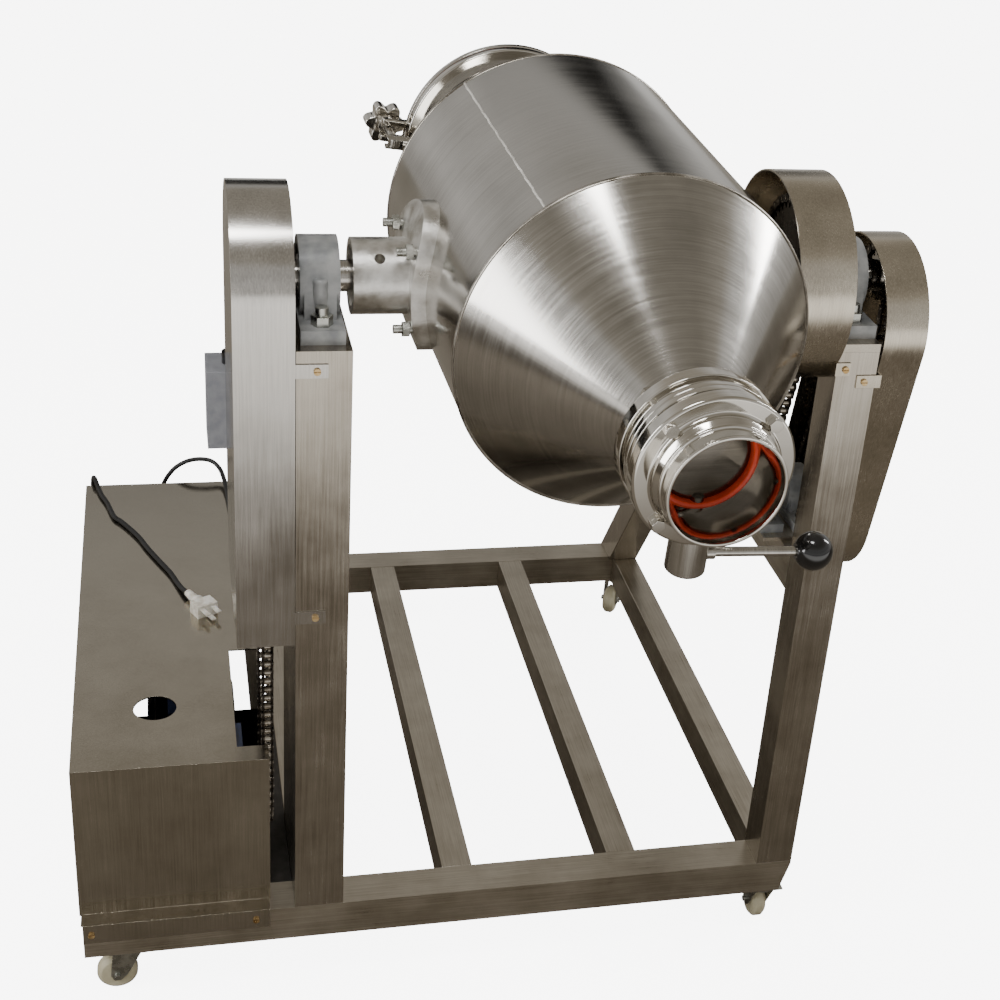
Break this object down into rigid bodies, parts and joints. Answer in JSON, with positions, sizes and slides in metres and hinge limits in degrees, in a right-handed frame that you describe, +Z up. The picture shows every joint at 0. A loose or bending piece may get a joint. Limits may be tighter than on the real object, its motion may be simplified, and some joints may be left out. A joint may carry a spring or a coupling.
{
  "type": "drum mixer",
  "caption": "Tilting stainless steel drum mixer with a butterfly outlet valve, chain drive, motor box and castered tube frame.",
  "frame": {"origin": "floor, under the middle of the machine's outer box without its cord", "axes": "+X right along the front rail towards the outer chain guard, +Y back from the outlet, +Z up"},
  "size_m": [0.982, 1.2626, 1.1319],
  "materials": {
    "stainless_tube": "brushed stainless steel tube, ground at the welds",
    "stainless_sheet": "brushed stainless steel sheet",
    "drum_steel": "satin and polished stainless steel",
    "polished_steel": "polished stainless steel",
    "machined_steel": "turned bright steel",
    "chain_steel": "oiled dark steel",
    "bearing_grey": "painted grey cast iron",
    "zinc": "zinc plated steel",
    "brass_screw": "yellow passivated screws",
    "motor_paint": "blue gloss paint",
    "shelf_paint": "dark primer",
    "switch_plastic": "grey moulded plastic",
    "black_plastic": "black phenolic",
    "cord_rubber": "black rubber cord",
    "plug_plastic": "clear and white plug moulding",
    "silicone": "orange red silicone",
    "wheel_nylon": "cream nylon"
  },
  "bodies": {
    "frame": {"front_rail": "stainless_tube", "rear_rail": "stainless_tube", "floor_rails": "stainless_tube", "left_post": "stainless_tube", "right_post": "stainless_tube", "rear_leg": "stainless_tube", "side_beam": "stainless_tube", "bearing_brackets": "stainless_tube", "trunnion_bearings": "bearing_grey", "layshaft_bearings": "bearing_grey", "frame_bolts": "machined_steel", "motor_shelf": "shelf_paint", "left_guard": "stainless_sheet", "inner_guard": "stainless_sheet", "outer_guard": "stainless_sheet", "cover_screws": "brass_screw", "motor_box": "stainless_sheet", "motor": "motor_paint", "gear_box": "motor_paint", "left_chain": "chain_steel", "inner_chain": "chain_steel", "outer_chain": "chain_steel", "switch_box": "switch_plastic", "power_cord": "cord_rubber", "plug": "plug_plastic", "castor_plates": "zinc"},
    "drum": {"drum_shell": "drum_steel", "trunnion_pads": "drum_steel", "shaft_seal": "silicone", "left_hub": "machined_steel", "left_shaft": "machined_steel", "left_sprocket": "chain_steel", "hub_studs": "machined_steel", "right_hub": "machined_steel", "right_sprocket": "chain_steel", "valve_body": "polished_steel", "valve_outlet": "polished_steel", "valve_seat": "silicone", "valve_bolts": "polished_steel", "lid": "polished_steel", "lid_gasket": "silicone"},
    "gear_output": {"gear_box_sprocket": "chain_steel"},
    "layshaft": {"layshaft": "chain_steel"},
    "stirrer": {"stirrer": "drum_steel"},
    "valve": {"valve_disc": "polished_steel", "valve_handle": "polished_steel", "ball_knob": "black_plastic"},
    "left_swing": {"swing_bolt_left": "machined_steel"},
    "left_knob": {"star_knob_left": "polished_steel"},
    "right_swing": {"swing_bolt_right": "machined_steel"},
    "right_knob": {"star_knob_right": "polished_steel"},
    "selector": {"switch_knob": "black_plastic"},
    "front_left_fork": {"castor_fork_front_left": "zinc"},
    "front_left_wheel": {"wheel_front_left": "wheel_nylon"},
    "front_right_fork": {"castor_fork_front_right": "zinc"},
    "front_right_wheel": {"wheel_front_right": "wheel_nylon"},
    "rear_right_fork": {"castor_fork_rear_right": "zinc"},
    "rear_right_wheel": {"wheel_rear_right": "wheel_nylon"},
    "rear_left_fork": {"castor_fork_rear_left": "zinc"},
    "rear_left_wheel": {"wheel_rear_left": "wheel_nylon"}
  },
  "joints": [
    {"name": "drum_tumble", "type": "hinge", "parent": "frame", "child": "drum", "pos_m": [0.1035, -0.1587, 0.922], "axis": [1, 0, 0], "continuous": true},
    {"name": "gear_output_turn", "type": "hinge", "parent": "frame", "child": "gear_output", "pos_m": [-0.26, -0.1587, 0.23], "axis": [1, 0, 0], "continuous": true},
    {"name": "layshaft_turn", "type": "hinge", "parent": "frame", "child": "layshaft", "pos_m": [0.4, -0.0987, 0.61], "axis": [1, 0, 0], "continuous": true},
    {"name": "stirrer_turn", "type": "hinge", "parent": "frame", "child": "stirrer", "pos_m": [0.1035, -0.1587, 0.922], "axis": [1, 0, 0], "continuous": true},
    {"name": "valve_turn", "type": "hinge", "parent": "drum", "child": "valve", "pos_m": [0.12605, -0.56065, 0.88825], "axis": [-0.0209, 0.0825, -0.9964], "range_deg": [0, 90]},
    {"name": "left_swing", "type": "hinge", "parent": "drum", "child": "left_swing", "pos_m": [-0.07124, 0.19315, 0.97198], "axis": [0.1303, -0.0757, 0.9886], "range_deg": [0, 95]},
    {"name": "left_knob_turn", "type": "hinge", "parent": "left_swing", "child": "left_knob", "pos_m": [-0.07604, 0.27872, 0.97916], "axis": [0.0558, -0.9949, -0.0835], "continuous": true},
    {"name": "right_swing", "type": "hinge", "parent": "drum", "child": "right_swing", "pos_m": [0.23761, 0.21377, 0.93284], "axis": [-0.1303, 0.0757, -0.9886], "range_deg": [0, 95]},
    {"name": "right_knob_turn", "type": "hinge", "parent": "right_swing", "child": "right_knob", "pos_m": [0.23281, 0.29933, 0.94003], "axis": [0.0558, -0.9949, -0.0835], "continuous": true},
    {"name": "selector_turn", "type": "hinge", "parent": "frame", "child": "selector", "pos_m": [-0.288, -0.0247, 0.77], "axis": [0, 0, 1], "range_deg": [-60, 60]},
    {"name": "front_left_swivel", "type": "hinge", "parent": "frame", "child": "front_left_fork", "pos_m": [-0.435, -0.2337, 0.06], "axis": [0, 0, 1], "continuous": true},
    {"name": "front_left_roll", "type": "hinge", "parent": "front_left_fork", "child": "front_left_wheel", "pos_m": [-0.45, -0.2337, 0.025], "axis": [0, -1, 0], "continuous": true},
    {"name": "front_right_swivel", "type": "hinge", "parent": "frame", "child": "front_right_fork", "pos_m": [0.406, -0.2337, 0.06], "axis": [0, 0, 1], "continuous": true},
    {"name": "front_right_roll", "type": "hinge", "parent": "front_right_fork", "child": "front_right_wheel", "pos_m": [0.406, -0.2187, 0.025], "axis": [-1, 0, 0], "continuous": true},
    {"name": "rear_right_swivel", "type": "hinge", "parent": "frame", "child": "rear_right_fork", "pos_m": [0.408, 0.6063, 0.06], "axis": [0, 0, 1], "continuous": true},
    {"name": "rear_right_roll", "type": "hinge", "parent": "rear_right_fork", "child": "rear_right_wheel", "pos_m": [0.4005, 0.59331, 0.025], "axis": [0.866, -0.5, 0], "continuous": true},
    {"name": "rear_left_swivel", "type": "hinge", "parent": "frame", "child": "rear_left_fork", "pos_m": [-0.447, 0.6063, 0.06], "axis": [0, 0, 1], "continuous": true},
    {"name": "rear_left_roll", "type": "hinge", "parent": "rear_left_fork", "child": "rear_left_wheel", "pos_m": [-0.4395, 0.59331, 0.025], "axis": [0.866, 0.5, 0], "continuous": true}
  ],
  "couplings": [
    {"joint": "gear_output_turn", "follows": "drum_tumble", "ratio": 2.3529},
    {"joint": "layshaft_turn", "follows": "drum_tumble", "ratio": 2.2},
    {"joint": "stirrer_turn", "follows": "drum_tumble", "ratio": 4.9176}
  ]
}
